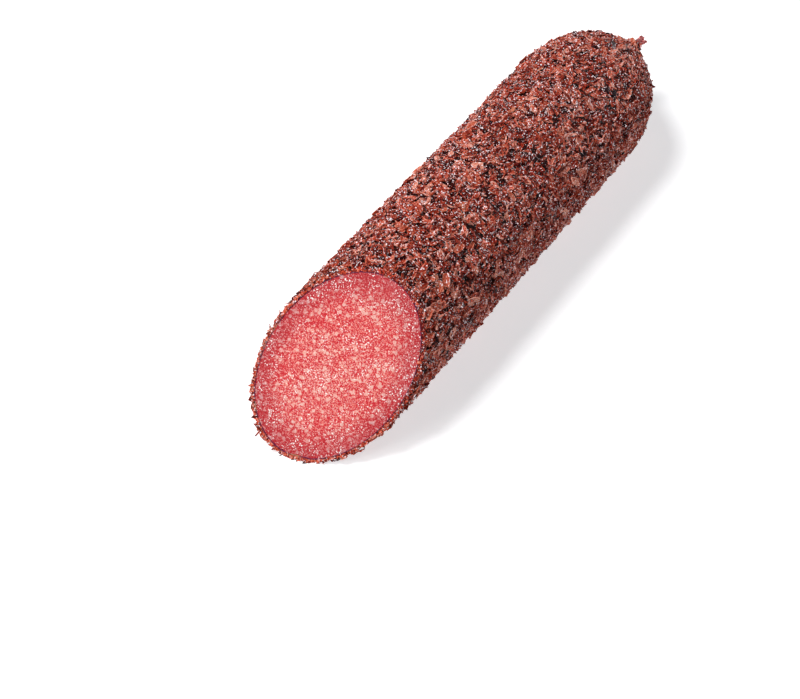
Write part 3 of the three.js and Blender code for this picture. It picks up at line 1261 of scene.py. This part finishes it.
def detailed_flake(name):
    """A copy of a CAD flake, cut finer, roughened and sunk a little into the crust."""
    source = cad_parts[name]
    flake = bpy.data.objects.new(name + "_copy", source.data.copy())
    bpy.context.scene.collection.objects.link(flake)
    with editing(flake):
        bpy.ops.mesh.remove_doubles(threshold=TOUCH)
        bpy.ops.mesh.subdivide(number_cuts=3)
    points = points_of(flake.data)
    middle = points.mean(axis=0)
    out = middle - np.array([AXIS_X, middle[1], AXIS_Z])
    out /= np.linalg.norm(out)
    points += crumpled(points, 700) * 0.35 * MM
    points -= out * 0.5 * MM
    set_points(flake.data, points)
    local = points - middle
    fibre = flake.data.uv_layers.new(name="Fibre")
    corners = np.empty(len(flake.data.loops), np.int32)
    flake.data.loops.foreach_get("vertex_index", corners)
    fibre.data.foreach_set("uv", (local[corners][:, :2] / MM).astype(np.float32).ravel())
    reach = np.linalg.norm(local, axis=1)
    set_value(flake.data, "tone", np.full(len(points), 0.5))
    set_value(flake.data, "rim", reach / reach.max())
    return flake


class SAUSAGE_OT_tail(Operator):
    """Model the frayed tail where the casing is gathered"""

    bl_idname = "sausage.tail"
    bl_label = "Gathered Tail"

    def execute(self, context):
        pleats = 9
        start_y = NECK_END_Y - 3 * MM
        bpy.ops.object.select_all(action="DESELECT")
        bpy.ops.mesh.primitive_circle_add(
            vertices=4 * pleats,
            radius=3.2 * MM,
            fill_type="NOTHING",
            location=(AXIS_X, start_y, AXIS_Z),
            rotation=(-math.pi / 2, 0, 0),
        )
        tail = context.object
        tail.name = "gathered_tail"
        place_in_mesh(tail)
        centre = Vector((AXIS_X, start_y, AXIS_Z))
        with editing(tail):
            for forward, aside, grow in TAIL_RINGS:
                step = Vector((1.2 * aside, forward, aside)) * MM
                centre += step
                bpy.ops.mesh.extrude_edges_move(TRANSFORM_OT_translate={"value": step})
                bpy.ops.transform.resize(value=(grow, 1, grow), center_override=centre)
        pleat_tail(tail, pleats, centre)
        with editing(tail):
            bpy.ops.mesh.normals_make_consistent(inside=False)
        apply_modifier(tail, "wall", "SOLIDIFY", thickness=0.7 * MM, offset=0)
        apply_modifier(tail, "fine", "SUBSURF", levels=2, render_levels=2)
        smooth(tail, math.radians(80))
        finish_piece(tail, tail_material(), "casing")
        return {"FINISHED"}


def pleat_tail(tail, pleats, end):
    """Folds the tail's rings into pleats, crumples them and frays the last ring."""
    points = points_of(tail.data)
    outwards = np.clip((points[:, 1] - NECK_END_Y) / (end.y - NECK_END_Y), 0, 1)
    middle_x = AXIS_X + (end.x - AXIS_X) * outwards**1.6
    middle_z = AXIS_Z + (end.z - AXIS_Z) * outwards**1.6
    off_x, off_z = points[:, 0] - middle_x, points[:, 2] - middle_z
    angle = np.arctan2(off_x, off_z)
    fold = 1 + 0.26 * np.cos(pleats * angle + 2.2 * outwards) + 0.16 * np.cos(3 * angle + 1.0)
    points[:, 0] = middle_x + off_x * fold
    points[:, 2] = middle_z + off_z * fold
    points += crumpled(points, 420) * (0.5 + 0.7 * outwards)[:, None] * MM
    frayed = outwards > 0.97
    points[frayed, 1] += 1.6 * MM * np.abs(np.sin(2.5 * angle[frayed] + 0.7)) - 0.8 * MM
    set_points(tail.data, points)


class SAUSAGE_OT_stage(Operator):
    """Set the floor, the lights and the camera"""

    bl_idname = "sausage.stage"
    bl_label = "Stage"

    def execute(self, context):
        setup = context.scene.sausage_stage
        bpy.ops.mesh.primitive_plane_add(size=setup.floor_width, location=(0, 0, 0))
        floor = context.object
        floor.name = "floor"
        floor.data.materials.append(floor_material())
        azimuth, elevation = setup.azimuth, setup.elevation
        back = Vector(
            (
                math.sin(azimuth) * math.cos(elevation),
                -math.cos(azimuth) * math.cos(elevation),
                math.sin(elevation),
            )
        )
        target = cut_point() + Vector((0.51, 0.70, 0)) * CRUST_RADIUS
        camera = bpy.data.objects.new("camera", bpy.data.cameras.new("camera"))
        context.scene.collection.objects.link(camera)
        camera.location = target + back * setup.distance
        camera.rotation_euler = back.to_track_quat("Z", "Y").to_euler()
        camera.data.lens = setup.lens
        camera.data.sensor_width = 36
        context.scene.camera = camera
        for name, (direction, watts, shadows) in LIGHTS.items():
            soft_light(name, target, Vector(direction), watts).use_shadow = shadows
        context.scene.world = studio_walls()
        context.scene.view_settings.view_transform = "Standard"
        return {"FINISHED"}


def studio_walls():
    """White walls all round, which light the sausage only dimly but look pale."""
    world = bpy.data.worlds.new("studio")
    world.use_nodes = True
    tree = world.node_tree
    background = tree.nodes["Background"]
    background.inputs["Color"].default_value = (1, 1, 1, 1)
    seen = tree.nodes.new("ShaderNodeLightPath").outputs["Is Camera Ray"]
    strength = tree.nodes.new("ShaderNodeMapRange")
    strength.inputs["To Min"].default_value = WALL_LIGHT
    strength.inputs["To Max"].default_value = WALL_BRIGHTNESS
    tree.links.new(seen, strength.inputs["Value"])
    tree.links.new(strength.outputs["Result"], background.inputs["Strength"])
    return world


def soft_light(name, target, direction, watts):
    """A round lamp that shines on the target from its direction."""
    direction = direction.normalized()
    distance = bpy.context.scene.sausage_stage.light_distance
    bpy.ops.object.light_add(type="AREA", location=target + direction * distance)
    lamp = bpy.context.object
    lamp.name = name
    lamp.rotation_euler = direction.to_track_quat("Z", "Y").to_euler()
    lamp.data.shape = "DISK"
    lamp.data.size = LIGHT_SIZE
    lamp.data.energy = watts
    return lamp.data


OPERATORS = (
    SAUSAGE_OT_meat,
    SAUSAGE_OT_casing,
    SAUSAGE_OT_tail,
    SAUSAGE_OT_bed,
    SAUSAGE_OT_crumbs,
    SAUSAGE_OT_chips,
    SAUSAGE_OT_plates,
    SAUSAGE_OT_shreds,
    SAUSAGE_OT_rim_flakes,
    SAUSAGE_OT_large_flakes,
    SAUSAGE_OT_stage,
)


class SAUSAGE_PT_panel(Panel):
    """Everything that builds the sausage"""

    bl_idname = "SAUSAGE_PT_panel"
    bl_label = "Crusted Sausage"
    bl_space_type = "VIEW_3D"
    bl_region_type = "UI"
    bl_category = "Sausage"

    def draw(self, context):
        for group in GROUPS:
            box = self.layout.box()
            settings = getattr(context.scene, group)
            for name in settings.bl_rna.properties.keys():
                if name not in {"rna_type", "name"}:
                    box.prop(settings, name)
        for operator in OPERATORS:
            self.layout.operator(operator.bl_idname)


GROUPS = {
    "sausage_log": LogSizes,
    "sausage_meat": MeatFinish,
    "sausage_crust": CrustFinish,
    "sausage_stage": StageSetup,
}
CLASSES = (*GROUPS.values(), *OPERATORS, SAUSAGE_PT_panel)


def register():
    for cls in CLASSES:
        bpy.utils.register_class(cls)
    for name, group in GROUPS.items():
        setattr(Scene, name, PointerProperty(type=group))


def unregister():
    for name in GROUPS:
        delattr(Scene, name)
    for cls in reversed(CLASSES):
        bpy.utils.unregister_class(cls)


def main():
    register()
    for operator in OPERATORS:
        group, name = operator.bl_idname.split(".")
        getattr(getattr(bpy.ops, group), name)()


if __name__ == "__main__":
    main()
